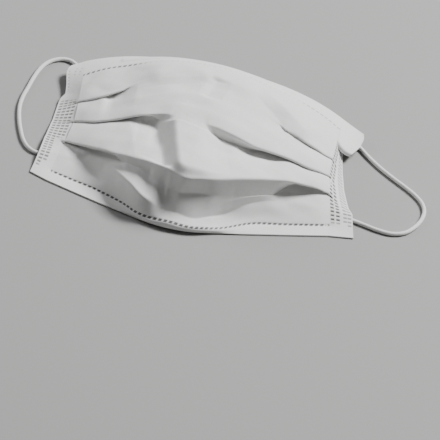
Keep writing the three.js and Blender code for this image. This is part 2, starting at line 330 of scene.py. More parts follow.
def new_object(name, mesh_data):
    """A mesh object from points in metres, faces, each point's place on the flat cloth and its mark, which
    darkens the colour: a weld mark, partly painted shade, or painted shade in a cord's grooves.
    """
    points, faces, flat, marks = mesh_data
    mesh = bpy.data.meshes.new(name)
    mesh.from_pydata(points.tolist(), [], faces.tolist())
    corners = np.empty(len(mesh.loops), dtype=np.int32)
    mesh.loops.foreach_get("vertex_index", corners)
    layer = mesh.uv_layers.new(name="cloth")
    layer.data.foreach_set("uv", flat[corners].astype(np.float32).ravel())
    weld = mesh.attributes.new("weld", "FLOAT", "POINT")
    weld.data.foreach_set("value", marks.astype(np.float32))
    mesh.polygons.foreach_set("use_smooth", np.ones(len(mesh.polygons), dtype=bool))
    mesh.set_sharp_from_angle(angle=RIM_ANGLE)
    mesh.update()
    piece = bpy.data.objects.new(name, mesh)
    bpy.context.collection.objects.link(piece)
    return piece


def shell(grid, relief, below, flat, marks):
    """A closed piece of cloth from a grid of points in millimetres, with relief on its outside."""
    normals = grid_normals(grid)
    rows, columns = grid.shape[:2]
    outside = (grid + normals * (HALF_SHEET + relief)[..., None]).reshape(-1, 3)
    inside = (grid - normals * below).reshape(-1, 3)
    points = to_metres(np.concatenate([outside, inside]))
    index = np.arange(rows * columns).reshape(rows, columns)
    under = index + rows * columns
    quads = [
        (index[:-1, :-1], index[1:, :-1], index[1:, 1:], index[:-1, 1:]),
        (under[:-1, :-1], under[:-1, 1:], under[1:, 1:], under[1:, :-1]),
        (index[:-1, 0], under[:-1, 0], under[1:, 0], index[1:, 0]),
        (index[:-1, -1], index[1:, -1], under[1:, -1], under[:-1, -1]),
        (index[0, :-1], index[0, 1:], under[0, 1:], under[0, :-1]),
        (index[-1, :-1], under[-1, :-1], under[-1, 1:], index[-1, 1:]),
    ]
    faces = np.concatenate([np.stack([corner.ravel() for corner in quad], axis=1) for quad in quads])
    both_flat = np.concatenate([flat.reshape(-1, 2)] * 2) / FLAT_UNIT
    both_marks = np.concatenate([marks.ravel(), np.zeros(marks.size)])
    return points, faces, both_flat, both_marks


# Materials

class Nodes:
    """A short way to add and join shader nodes of one material."""

    def __init__(self, name):
        self.material = bpy.data.materials.new(name)
        self.material.use_nodes = True
        self.tree = self.material.node_tree
        self.shader = self.tree.nodes["Principled BSDF"]

    def add(self, kind, inputs=None, **settings):
        node = self.tree.nodes.new(kind)
        for key, value in settings.items():
            setattr(node, key, value)
        for key, value in (inputs or {}).items():
            self.put(node.inputs[key], value)
        return node

    def put(self, socket, value):
        if isinstance(value, bpy.types.NodeSocket):
            self.tree.links.new(value, socket)
        else:
            socket.default_value = value

    def math(self, operation, first, second=0.0):
        return self.add("ShaderNodeMath", {0: first, 1: second}, operation=operation).outputs[0]

    def range(self, value, low, high, to_low=0.0, to_high=1.0):
        inputs = {"Value": value, "From Min": low, "From Max": high, "To Min": to_low, "To Max": to_high}
        return self.add("ShaderNodeMapRange", inputs, interpolation_type="SMOOTHSTEP").outputs[0]

    def mix(self, share, first, second):
        node = self.add("ShaderNodeMix", data_type="RGBA")
        self.put(node.inputs["Factor"], share)
        self.put(node.inputs["A"], first)
        self.put(node.inputs["B"], second)
        return node.outputs["Result"]

    def bump(self, height, distance, strength, below=None):
        inputs = {"Height": height, "Distance": distance, "Strength": strength}
        if below is not None:
            inputs["Normal"] = below
        return self.add("ShaderNodeBump", inputs).outputs[0]


# White that is a little warm
BLUE_SHARE = 0.99


def grey(value):
    return (value, value, value * BLUE_SHARE, 1)


# Spunbond cloth: fine fibres, and small bonded points on a diagonal lattice. The pitch of the points is in
# millimetres, and the depths of the bumps are in metres.
BOND_PITCH = 1.3
BOND_FROM = 0.62
BOND_FULL = 0.95
BOND_STRENGTH = 0.25
BOND_SHADE = 0.8
BOND_BUMP = 0.5
CLOTH_FIBRES = {"Scale": 900, "Detail": 4.0, "Roughness": 0.65, "Distortion": 2.5}
CLOTH_BLOTCHES = {"Scale": 55, "Detail": 5.0, "Roughness": 0.6}
FIBRE_SHARE = 0.5
NOISE_LOW = 0.3
NOISE_HIGH = 0.7
FUZZ_DEPTH = 0.00012
FUZZ_BUMP = 0.35
CLOTH_ROUGHNESS = 0.88
CLOTH_SHEEN = 0.12
CLOTH_SHEEN_ROUGHNESS = 0.5
SPECULAR = 0.3
# Weld marks: the darker, glossier melted film, made much darker still as painted shade of their shallow dents
WELD_FILM_AND_SHADE_GREY = 0.07
WELD_ROUGHNESS = 0.5

# Knitted elastic
YARN_FIBRES = {"Scale": 900, "Detail": 3.0, "Roughness": 0.6, "Distortion": 1.5}
YARN_DARK = 0.76
YARN_PALE = 0.86
YARN_ROUGHNESS = 0.8
YARN_SHEEN = 0.2
YARN_SHEEN_ROUGHNESS = 0.4
YARN_FUZZ_DEPTH = 0.00015
YARN_FUZZ_BUMP = 0.4
# Colour of the painted shade in the grooves between the cord's ribs
GROOVE_SHADE_GREY = 0.6


def bonds(nodes, flat):
    """The lattice of bonded points, 1 at each of them."""
    axes = nodes.add("ShaderNodeSeparateXYZ", {0: flat}).outputs
    turn = 2 * math.pi * FLAT_UNIT / BOND_PITCH / math.sqrt(2)
    waves = []
    for operation in ("ADD", "SUBTRACT"):
        diagonal = nodes.math(operation, axes[0], axes[1])
        waves.append(nodes.math("SINE", nodes.math("MULTIPLY", diagonal, turn)))
    return nodes.range(nodes.math("MULTIPLY", *waves), BOND_FROM, BOND_FULL)


def set_surface(shader, sheen, sheen_roughness):
    shader.inputs["Specular IOR Level"].default_value = SPECULAR
    shader.inputs["Sheen Weight"].default_value = sheen
    shader.inputs["Sheen Roughness"].default_value = sheen_roughness


def cloth_material(name, pale, dark, bond_depth):
    nodes = Nodes(name)
    flat = nodes.add("ShaderNodeUVMap", uv_map="cloth").outputs[0]
    bond = bonds(nodes, flat)
    fibres = nodes.add("ShaderNodeTexNoise", {"Vector": flat, **CLOTH_FIBRES}).outputs[0]
    blotches = nodes.add("ShaderNodeTexNoise", {"Vector": flat, **CLOTH_BLOTCHES}).outputs[0]
    fine = nodes.math("MULTIPLY", fibres, FIBRE_SHARE)
    coarse = nodes.math("MULTIPLY", blotches, 1 - FIBRE_SHARE)
    cover = nodes.range(nodes.math("ADD", fine, coarse), NOISE_LOW, NOISE_HIGH)
    cloth = nodes.mix(cover, grey(dark), grey(pale))
    bonded = nodes.mix(nodes.math("MULTIPLY", bond, BOND_STRENGTH), cloth, grey(dark * BOND_SHADE))
    # The weld marks darken the colour: partly the melted film's own tone, partly painted shade of the dents
    weld = nodes.add("ShaderNodeAttribute", attribute_name="weld").outputs["Fac"]
    fuzz = nodes.bump(fibres, FUZZ_DEPTH, FUZZ_BUMP)
    bumps = nodes.bump(nodes.math("SUBTRACT", 1.0, bond), bond_depth, BOND_BUMP, fuzz)
    nodes.put(nodes.shader.inputs["Base Color"], nodes.mix(weld, bonded, grey(WELD_FILM_AND_SHADE_GREY)))
    nodes.put(nodes.shader.inputs["Roughness"], nodes.range(weld, 0, 1, CLOTH_ROUGHNESS, WELD_ROUGHNESS))
    nodes.put(nodes.shader.inputs["Normal"], bumps)
    set_surface(nodes.shader, CLOTH_SHEEN, CLOTH_SHEEN_ROUGHNESS)
    return nodes.material


def elastic_material(name):
    nodes = Nodes(name)
    flat = nodes.add("ShaderNodeUVMap", uv_map="cloth").outputs[0]
    fibres = nodes.add("ShaderNodeTexNoise", {"Vector": flat, **YARN_FIBRES}).outputs[0]
    # Painted shade in the grooves between the ribs, carried in the weld attribute
    groove_shade = nodes.add("ShaderNodeAttribute", attribute_name="weld").outputs["Fac"]
    yarn = nodes.mix(nodes.range(fibres, NOISE_LOW, NOISE_HIGH), grey(YARN_DARK), grey(YARN_PALE))
    nodes.put(nodes.shader.inputs["Base Color"], nodes.mix(groove_shade, yarn, grey(GROOVE_SHADE_GREY)))
    nodes.put(nodes.shader.inputs["Normal"], nodes.bump(fibres, YARN_FUZZ_DEPTH, YARN_FUZZ_BUMP))
    nodes.shader.inputs["Roughness"].default_value = YARN_ROUGHNESS
    set_surface(nodes.shader, YARN_SHEEN, YARN_SHEEN_ROUGHNESS)
    return nodes.material


SHEET_CLOTH = cloth_material("spunbond_sheet", pale=0.80, dark=0.74, bond_depth=0.00012)
HEM_CLOTH = cloth_material("spunbond_hem", pale=0.83, dark=0.77, bond_depth=0.00010)
BAND_CLOTH = cloth_material("welded_band", pale=0.82, dark=0.76, bond_depth=0.00006)
ELASTIC = elastic_material("knitted_elastic")


def dress(piece, material, slot, *nodes):
    """Give a piece its material and its place in the part, standing for the named solids."""
    piece.data.materials.append(material)
    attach(piece, "root")
    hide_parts(*nodes)


# Ear loops: knitted tubes with slanting ribs

CORD_SIDES = 18
CORD_SPACING = 0.24
RIB_DEPTH = 0.09
RIB_PITCH = 1.5
RIBS_ROUND = 3
# How strongly the grooves between the ribs are painted with shade
GROOVE_SHADE_SHARE = 0.6


def cord_mesh(line, run):
    """A tube along the line with two sets of slanting ribs: points, faces, flat places, and marks of painted
    shade in the grooves between the ribs.
    """
    forward = unit(np.gradient(line, axis=0))
    side = unit(np.cross(forward, [0, 0, 1]))
    top = np.cross(side, forward)
    angle = np.linspace(0, 2 * np.pi, CORD_SIDES, endpoint=False)
    half_turns = np.pi * run[:, None] / RIB_PITCH
    one_way = np.abs(np.sin(RIBS_ROUND * angle + half_turns))
    other_way = np.abs(np.sin(RIBS_ROUND * angle - half_turns))
    groove = (1 - np.minimum(one_way, other_way)) ** 2
    radius = CORD_DIAMETER / 2 - RIB_DEPTH * groove
    ring = np.cos(angle)[None, :, None] * side[:, None] + np.sin(angle)[None, :, None] * top[:, None]
    tube = line[:, None] + radius[..., None] * ring
    points = np.concatenate([tube.reshape(-1, 3), line[:1], line[-1:]])

    rings = len(line)
    index = np.arange(rings * CORD_SIDES).reshape(rings, CORD_SIDES)
    following = np.roll(index, -1, axis=1)
    quads = np.stack([index[:-1], index[1:], following[1:], following[:-1]], axis=-1).reshape(-1, 4)
    start = rings * CORD_SIDES
    end = start + 1
    caps = [(start, index[0, k], following[0, k]) for k in range(CORD_SIDES)]
    caps += [(end, following[-1, k], index[-1, k]) for k in range(CORD_SIDES)]
    faces = quads.tolist() + [[int(corner) for corner in cap] for cap in caps]

    flat_run = np.broadcast_to(run[:, None], groove.shape)
    flat_round = np.broadcast_to(angle * CORD_DIAMETER / 2, groove.shape)
    flat = np.stack([flat_run, flat_round], axis=-1).reshape(-1, 2)
    flat = np.concatenate([flat, [[0, 0], [run[-1], 0]]]) / FLAT_UNIT
    # Paint shade into the grooves, darkest where the tube is thinnest
    marks = np.concatenate([groove.ravel() * GROOVE_SHADE_SHARE, [0, 0]])
    return to_metres(points), np.array(faces, dtype=object), flat, marks


def make_loop(name, node, route):
    line = smooth_line(route, CORD_SPACING)
    run = lengths_along(line)
    piece = new_object(name, cord_mesh(line, run))
    dress(piece, ELASTIC, "elastic", node)


make_loop("loop_left", "ear_loop_left", LEFT_LOOP)
make_loop("loop_right", "ear_loop_right", RIGHT_LOOP)


# The pleated sheet: rows of points from the chin edge to the nose edge, one point for each x

def at(x, y, z):
    return np.stack(np.broadcast_arrays(x, y, z), axis=-1).astype(float)


def section_values(x):
    """The section table's values at each x, along smooth curves."""
    stations = SECTIONS[:, 0]
    slopes = np.gradient(SECTIONS, stations, axis=0)
    k = np.clip(np.searchsorted(stations, x) - 1, 0, len(stations) - 2)
    width = (stations[k + 1] - stations[k])[:, None]
    t = (x - stations[k])[:, None] / width
    rise = t * t * (3 - 2 * t)
    leave = t * (1 - t) ** 2 * width * slopes[k]
    arrive = t * t * (t - 1) * width * slopes[k + 1]
    values = between(SECTIONS[k], SECTIONS[k + 1], rise) + leave + arrive
    named = dict(zip(SECTION_COLUMNS, values.T))
    for name, places in PLEAT_VALUES.items():
        named[name] = np.interp(x, *zip(*places))
    return named


def from_seams(x):
    """Distance from the nearer seam."""
    return np.minimum(x - FIRST_X, LAST_X - x)


def chin_edge(x):
    rise = np.hypot(x - CHIN_TIP_X, CHIN_ROUNDING) - CHIN_ROUNDING
    return at(x, CHIN_TIP_Y + CHIN_SLOPE * rise, CHIN_Z)


def nose_edge(x):
    share = (x - NOSE_PEAK_X) / NOSE_HALF_WIDTH
    return at(x, NOSE_Y - NOSE_SWEEP * share ** 4, NOSE_Z - NOSE_DROP * share ** 2)


def bulged(a, b, share, bulge):
    """The point at a share of the way from a to b, raised by a bulge that is fullest half way."""
    up = unit(at(0, a[:, 2] - b[:, 2], b[:, 1] - a[:, 1]))
    return between(a, b, share) + up * (4 * share * (1 - share) * np.asarray(bulge)[..., None])


def pleat(before, lip, after, table_degrees, depth, pitch):
    """A pleat's corners from root to lip, and the tuck where the next panel comes out under the lip."""
    shut_degrees = np.degrees(np.arcsin(2 * pitch / PLEAT_DEPTH))
    degrees = np.maximum(table_degrees, shut_degrees)[:, None]
    opening = np.radians(degrees)
    in_plane = np.array([0, 1, 1])
    arriving = unit((lip - before) * in_plane)
    leaving = unit((after - lip) * in_plane)
    forward = unit(between(arriving, leaving, ease(degrees, RISER_DEGREES, PULLED_DEGREES)))
    down = at(0, -forward[:, 2], forward[:, 1])
    riser = down * np.sin(opening) - forward * np.cos(opening)
    turn = np.where(degrees < RISER_DEGREES, down, riser)
    depth = depth[:, None]
    pitch = pitch[:, None] * depth / PLEAT_DEPTH
    root = lip + riser * depth
    under_lip = lip + turn * pitch
    over_root = root - turn * pitch
    shut = 1 - ease(degrees, SNUG_DEGREES, AJAR_DEGREES)
    tuck = between(between(root, after, OPEN_TUCK_SHARE), lip + down * 2 * pitch, shut)
    return {"root": root, "over": over_root, "under": under_lip, "lip": lip, "tuck": tuck}


def sheet_lines(x):
    """The named lines of the sheet, and how much pleats 1 and 2 run out."""
    section = section_values(x)
    hem = at(x * HEM_SPREAD, section["hem_y"], np.maximum(section["hem_z"], CHIN_Z))
    fold = at(x * FOLD_SPREAD, section["fold_y"], section["fold_z"])
    lip3 = at(x * LIP3_SPREAD, section["lip3_y"], section["lip3_z"])
    lip2 = at(x, section["lip2_y"], section["lip2_z"])
    lip1 = at(x, section["lip1_y"], section["lip1_z"])
    nose = nose_edge(x * NOSE_SPREAD)
    arch = 1 - (x / NOSE_HALF_WIDTH) ** 2
    brow_bulge = between(BROW_BULGE_SIDE, BROW_BULGE_CENTRE, arch)
    weld_share = (1 - NOSE_HEM_WIDTH / np.linalg.norm(nose - lip1, axis=1))[:, None]
    first_brow = bulged(lip1, nose, weld_share * FIRST_BROW_SHARE, brow_bulge)
    pitch = LAYER_PITCH * between(SEAM_PITCH_SHARE, 1, ease(from_seams(x), 0, SEAM_PRESS_REACH))
    pleat1 = pleat(first_brow, lip1, lip2, section["open1"], section["depth1"], pitch)
    pleat2 = pleat(pleat1["tuck"], lip2, lip3, section["open2"], section["depth2"], pitch)
    pleat3 = pleat(pleat2["tuck"], lip3, fold, section["open3"], section["depth3"], pitch)
    chin_tuck = between(fold, pleat3["root"], CHIN_TUCK_SHARE)
    chin_tuck[:, 0] = lip3[:, 0]
    run_outs = (1 - ease(section["depth1"], *RUN_OUT_DEPTH1), 1 - ease(section["depth2"], *RUN_OUT_DEPTH2))
    return {
        "chin": chin_edge(x * CHIN_SPREAD), "hem": hem, "fold": fold, "chin_tuck": chin_tuck,
        "pleats": (pleat1, pleat2, pleat3), "nose": nose, "brow_bulge": brow_bulge,
        "weld_share": weld_share, "run_outs": run_outs,
    }


# Numbers of rows in the stretches of the sheet
HEM_ROWS = 30
WELD_ROWS = 6
WELD_PANEL_STEPS = 2
CHIN_PANEL_ROWS = 16
CHIN_TUCK_ROWS = 13
FOLD_EDGE_ROWS = 2
PLEAT_ROWS = 14
PANEL_ROWS = 32
TUCK_ROWS = 13
BROW_ROWS = 44
RELAX_ROUNDS = 2
RUN_OUT_ROWS = 12
RUN_OUT_ROUNDS = 200

# The chin hem rolls under in the middle
CHIN_ROLL = 1.3
CHIN_ROLL_X = -8
CHIN_ROLL_REACH = 24

# Grooves of the weld lines, and the ridge of the strip in the nose hem
WELD_GROOVE = 0.22
WELD_REACH = 0.8
NOSE_GROOVE_SHARE = 0.5
NOSE_STRIP_HEIGHT = 0.45
NOSE_STRIP_FROM = 5
NOSE_STRIP_TO = 9
NOSE_STRIP_SOFT = 0.5
NOSE_STRIP_LEFT = -50
NOSE_STRIP_RIGHT = 44
NOSE_STRIP_END_SOFT = 1


def shares(count, low=0.0, high=1.0):
    return np.linspace(low, high, count, endpoint=False)


def chin_rows(x, lines):
    """Rows from the chin edge to the root of pleat 3, and the numbers of the weld row and the parting row."""
    hem, fold, tuck = lines["hem"], lines["fold"], lines["chin_tuck"]
    roll = CHIN_ROLL * np.exp(-((x - CHIN_ROLL_X) / CHIN_ROLL_REACH) ** 2)
    rows = [bulged(lines["chin"], hem, share, roll) for share in shares(HEM_ROWS)]
    weld = len(rows)
    first_step = WELD_PANEL_STEPS / CHIN_PANEL_ROWS
    rows += [between(hem, fold, share) for share in shares(WELD_ROWS, 0, first_step)]
    parting = len(rows)
    rows += [between(hem, fold, share) for share in shares(CHIN_PANEL_ROWS - WELD_PANEL_STEPS, first_step)]
    rows += [between(fold, tuck, share) for share in shares(CHIN_TUCK_ROWS)]
    rows += [between(tuck, lines["pleats"][2]["root"], share) for share in shares(CHIN_TUCK_ROWS)]
    return rows, weld, parting


def fold_rows(folded):
    """Rows of a pleat from its root to its lip."""
    rows = [between(folded["root"], folded["over"], share) for share in shares(FOLD_EDGE_ROWS)]
    rows += [between(folded["over"], folded["under"], share) for share in shares(PLEAT_ROWS)]
    return rows + [between(folded["under"], folded["lip"], share) for share in shares(FOLD_EDGE_ROWS)]


def panel_rows(lip, behind):
    """Rows of a panel from its lip to the root of the pleat behind it."""
    bulge = np.full(len(lip), PANEL_BULGE)
    rows = [bulged(lip, behind["tuck"], share, bulge) for share in shares(PANEL_ROWS)]
    return rows + [between(behind["tuck"], behind["root"], share) for share in shares(TUCK_ROWS)]


def brow_rows(lines):
    """Rows from lip 1 to the nose edge, and the numbers of the parting row and the weld row."""
    weld_share = lines["weld_share"]

    def brow(share):
        return bulged(lines["pleats"][0]["lip"], lines["nose"], share, lines["brow_bulge"])

    brow_end = 1 - WELD_PANEL_STEPS / BROW_ROWS
    last_step = weld_share * WELD_PANEL_STEPS / BROW_ROWS
    rows = [brow(weld_share * share) for share in shares(BROW_ROWS - WELD_PANEL_STEPS, 0, brow_end)]
    parting = len(rows)
    rows += [brow(weld_share - last_step * (1 - share)) for share in shares(WELD_ROWS)]
    weld = len(rows)
    rows += [brow(between(weld_share, 1, share)) for share in np.linspace(0, 1, HEM_ROWS)]
    return rows, parting, weld


def relax(grid, first, last):
    """Round the folds between two rows a little."""
    for _ in range(RELAX_ROUNDS):
        inner = (grid[:, :-2] + 2 * grid[:, 1:-1] + grid[:, 2:]) / 4
        grid[:, first:last] = inner[:, first - 1:last - 1]


def run_out(grid, first, last, strength):
    """Draw the rows of a pleat out flat, where the strength says so."""
    for _ in range(RUN_OUT_ROUNDS):
        step = (grid[:, first - 1:last - 1] + grid[:, first + 1:last + 1]) / 2 - grid[:, first:last]
        grid[:, first:last] += step * strength[:, None, None] / 2


def sheet_rows(x):
    """All rows of the sheet, the numbers of its weld and parting rows, and where each panel lies."""
    lines = sheet_lines(x)
    pleat1, pleat2, pleat3 = lines["pleats"]
    rows, chin_weld, chin_parting = chin_rows(x, lines)
    panels = {"chin": (chin_parting, len(rows))}
    rows += fold_rows(pleat3)
    low_start = len(rows)
    rows += panel_rows(pleat3["lip"], pleat2)
    panels["low"] = (low_start, len(rows))
    rows += fold_rows(pleat2)
    high_start = len(rows)
    rows += panel_rows(pleat2["lip"], pleat1)
    panels["high"] = (high_start, len(rows))
    rows += fold_rows(pleat1)
    brow_start = len(rows)
    last_rows, brow_parting, brow_weld = brow_rows(lines)
    rows += last_rows
    panels["brow"] = (brow_start, len(rows))
    panels["upper"] = (high_start, len(rows))
    nose_parting = brow_start + brow_parting
    nose_weld = brow_start + brow_weld
    grid = np.stack(rows, axis=1)
    relax(grid, chin_parting, nose_parting)
    for strength, below, above in zip(lines["run_outs"], ("high", "low"), ("brow", "high")):
        run_out(grid, panels[below][0] + RUN_OUT_ROWS, panels[above][0] + RUN_OUT_ROWS, strength)
    return grid, (chin_weld, chin_parting, nose_parting, nose_weld), panels


# Weld marks: slanting double dashes along the hems, with a small open ring at the ends of the chin line.
# Their colour is the melted film's darker tone plus painted shade of their shallow dents
WELD_PITCH = 2.7
WELD_SLANT = 0.4
WELD_HALF_LENGTH = 0.85
WELD_HALF_HEIGHT = 0.65
WELD_SOFT = 0.14
WELD_SPLIT = 0.3
WELD_SPLIT_WIDTH = 0.12
MARK_DEPTH = 0.16
END_RING_RADIUS = 0.9
END_RING_WIDTH = 0.28
END_RING_OPENING = (-0.6, 0.2)
END_RING_INSET = 1.4
END_RING_SOFT = 0.5

# The nose weld line fades out towards the middle at the left, and comes back fainter at the right
NOSE_WELD_LEFT_END = (-46, -34)
NOSE_WELD_LEFT_LOSS = 0.8
NOSE_WELD_RIGHT_START = (36, 46)
NOSE_WELD_RIGHT = 0.5


def bar(across, along, half_across, half_along, soft):
    """1 inside a small bar round the origin and 0 outside, with soft edges."""
    reach = np.maximum(np.abs(across) - half_across, np.abs(along) - half_along)
    return 1 - ease(reach, -soft, soft)


def weld_marks(run, off):
    """Dashes along a weld line: run is the distance along it and off the distance from it."""
    place = (run - WELD_SLANT * off + WELD_PITCH / 2) % WELD_PITCH - WELD_PITCH / 2
    split = 1 - WELD_SPLIT * np.exp(-(off / WELD_SPLIT_WIDTH) ** 2)
    return split * bar(off, place, WELD_HALF_HEIGHT, WELD_HALF_LENGTH, WELD_SOFT)


def end_ring(run, off):
    """The small open ring that ends a weld line at the side band."""
    ring = np.exp(-((np.hypot(run, off) - END_RING_RADIUS) / END_RING_WIDTH) ** 2)
    return ring * ease(-np.abs(off) - run, *END_RING_OPENING)


def chin_marks(run, off):
    """The chin weld line: dashes between two end rings."""
    last = run[-1] - END_RING_INSET
    within = window(run, END_RING_INSET + END_RING_SOFT, last - END_RING_SOFT, END_RING_SOFT)
    return weld_marks(run, off) * within + end_ring(run - END_RING_INSET, off) + end_ring(last - run, off)


def nose_marks(x, run, off):
    left = 1 - NOSE_WELD_LEFT_LOSS * ease(x, *NOSE_WELD_LEFT_END)
    right = NOSE_WELD_RIGHT * ease(x, *NOSE_WELD_RIGHT_START)
    return weld_marks(run, off) * np.maximum(left, right)[:, None]


# Gentle unevenness of the cloth: a few long waves, as height, waves per millimetre in x and y, and phase
WAVES = [
    (0.16, 0.043, 0.021, 0.4),
    (0.13, -0.031, 0.052, 1.9),
    (0.10, 0.071, -0.038, 3.1),
    (0.07, 0.024, 0.093, 5.2),
]


def unevenness(grid):
    height = np.zeros(grid.shape[:2])
    for size, across, along, phase in WAVES:
        height += size * np.sin(2 * np.pi * (grid[..., 0] * across + grid[..., 1] * along) + phase)
    return height


# Straight creases of the panels, drawn from the nose side to the chin side: panel, ends, height of the ridge,
# how far its slopes reach to the photo's left and right, and how far it fades in and out
CREASES = [
    ("low", -21, -4, -10.5, -54, 3.4, 6, 26, 6, 8),
    ("low", -27, -2, -16.5, -52, -3.4, 14, 6, 6, 8),
    ("chin", -58.9, -28, -42.9, -51, -1.2, 14, 10, 5, 5),
    ("chin", 37, -32, 8, -58, 2.4, 5, 20, 14, 14),
    ("upper", 23.8, 26, 48.6, 5.8, 2, 7, 20, 8, 8),
    ("upper", -1.5, 25, -5, 9, -1.2, 4, 7, 3, 3),
    ("brow", -41.2, 34.1, -60, 14.7, -1.4, 7, 13, 10, 8),
    ("upper", -32.7, 18.9, -5.9, 25.2, 0.7, 4, 10, 6, 6),
    ("high", -42, 4.4, -2, 9.7, 0.7, 6, 8, 8, 8),
]
CREASE_ROUNDING = 0.5
PANEL_FADE_ROWS = {"chin": 13, "low": 5, "high": 5, "upper": 5, "brow": 5}

# Creases and unevenness fade out at the seams, close to the surface that the mask lies on and at the nose hem
SEAM_FADE = 5
SURFACE_FADE = (CHIN_Z + 0.5, CHIN_Z + 4)
NOSE_FADE = (-8, 2)


def facets(grid, panels):
    """Height that the creases add to the panels' rows, fading out at the folds between them."""
    height = np.zeros(grid.shape[:2])
    row = np.arange(grid.shape[1])
    for panel, x0, y0, x1, y1, ridge, left, right, fade_in, fade_out in CREASES:
        length = math.hypot(x1 - x0, y1 - y0)
        dx = (x1 - x0) / length
        dy = (y1 - y0) / length
        along = (grid[..., 0] - x0) * dx + (grid[..., 1] - y0) * dy
        aside = (grid[..., 1] - y0) * dx - (grid[..., 0] - x0) * dy
        away = np.hypot(aside, CREASE_ROUNDING) - CREASE_ROUNDING
        slope = np.clip(1 - away / np.where(aside > 0, right, left), 0, 1)
        begun = ease(along, -fade_in / 2, fade_in / 2)
        ended = ease(along, length - fade_out / 2, length + fade_out / 2)
        first, last = panels[panel]
        fade_rows = PANEL_FADE_ROWS[panel]
        in_panel = ease(row, first, first + fade_rows) * (1 - ease(row, last - fade_rows, last))
        height += ridge * slope * begun * (1 - ended) * in_panel
    return height


def finished_sheet(x):
    """The sheet with its facets and weld lines: points, relief, flat places, marks and parting rows."""
    grid, (chin_weld, chin_parting, nose_parting, nose_weld), panels = sheet_rows(x)
    steps = np.linalg.norm(np.diff(grid, axis=1), axis=2)
    run_up = np.concatenate([np.zeros((len(x), 1)), np.cumsum(steps, axis=1)], axis=1)
    flat = np.stack([np.broadcast_to(x[:, None], run_up.shape), run_up], axis=-1)
    chin_run = lengths_along(grid[:, chin_weld])[:, None]
    chin_off = run_up - run_up[:, chin_weld, None]
    nose_run = lengths_along(grid[:, nose_weld])[:, None]
    nose_off = run_up - run_up[:, nose_weld, None]

    marks = chin_marks(chin_run, chin_off) + nose_marks(x, nose_run, nose_off)
    chin_groove = np.exp(-(chin_off / WELD_REACH) ** 2)
    nose_groove = NOSE_GROOVE_SHARE * np.exp(-(nose_off / WELD_REACH) ** 2)
    strip = window(nose_off, NOSE_STRIP_FROM, NOSE_STRIP_TO, NOSE_STRIP_SOFT)
    strip = strip * window(x, NOSE_STRIP_LEFT, NOSE_STRIP_RIGHT, NOSE_STRIP_END_SOFT)[:, None]
    relief = NOSE_STRIP_HEIGHT * strip - WELD_GROOVE * (chin_groove + nose_groove) - MARK_DEPTH * marks

    loose = ease(grid[..., 2], *SURFACE_FADE) * (1 - ease(nose_off, *NOSE_FADE))
    loose = loose * ease(from_seams(x), 0, SEAM_FADE)[:, None]
    grid[..., 2] += (facets(grid, panels) + unevenness(grid)) * loose
    return grid, relief, flat, marks, (chin_parting, nose_parting)


SHEET_COLUMNS = 205
HEM_COLUMNS = 560


def cloth_part(sheet, part, below):
    """A closed piece from some of the sheet's rows."""
    grid, relief, flat, marks, _ = sheet
    return shell(grid[:, part], relief[:, part], below, flat[:, part], marks[:, part])


def make_sheet():
    sheet = finished_sheet(np.linspace(FIRST_X, LAST_X, SHEET_COLUMNS))
    chin_parting, nose_parting = sheet[-1]
    part = slice(chin_parting, nose_parting + 1)
    piece = new_object("pleated_sheet", cloth_part(sheet, part, HALF_SHEET))
    dress(piece, SHEET_CLOTH, "outer_cloth", "mask_body")
    return piece


def make_hems():
    sheet = finished_sheet(np.linspace(FIRST_X, LAST_X, HEM_COLUMNS))
    chin_parting, nose_parting = sheet[-1]
    hems = []
    for name, node, part in (("chin_hem", "bottom_hem", slice(0, chin_parting + 1)),
                             ("nose_hem", "top_hem", slice(nose_parting, None))):
        hem = new_object(name, cloth_part(sheet, part, HEM_BELOW))
        dress(hem, HEM_CLOTH, "hem_cloth", node)
        hems.append(hem)
    return hems


# Side bands: they fall away from the seam in a curve, and the weld smooths the steps of the pleats over this
# share of their width
BAND_COLUMNS = 44
BAND_CURL = 1.25
PRESS_ROUNDS = 120
PRESS_SHARE = 0.3
EDGE_ROUNDS = 6

# Weld bars and dots: their pitch along the bands, and half their size across and along the band. They are
# coloured like the hem marks: darker film plus painted shade
LEFT_BAR_PITCH = 2.2
RIGHT_BAR_PITCH = 2.4
BAR = (0.95, 0.52)
THICK_BAR = (0.95, 0.6)
DOT = (0.4, 0.36)
BAR_SOFT = 0.15
COLUMN_SOFT = 1

# Columns of weld marks: where they are measured from, how far in, lowest and highest y, strength, and mark
LEFT_MARKS = (
    ("edge", 1.8, -40, 13, 0.85, BAR),
    ("edge", 4.3, -36, 13, 0.85, BAR),
    ("edge", 6.8, -18, 12, 0.85, BAR),
    ("edge", 9.2, -18, 11, 0.85, BAR),
    ("edge", 1.3, 21, 36, 0.5, DOT),
    ("edge", 4.6, 30, 36, 0.5, DOT),
    ("edge", 7.2, 30, 36, 0.5, DOT),
)
RIGHT_MARKS = (
    ("edge", 1.7, -36, 22, 0.7, BAR),
    ("edge", 3.9, -34, 22, 0.7, BAR),
    ("seam", 4.4, -35, 20, 1, THICK_BAR),
    ("seam", 1.6, -35, 20, 1, THICK_BAR),
)


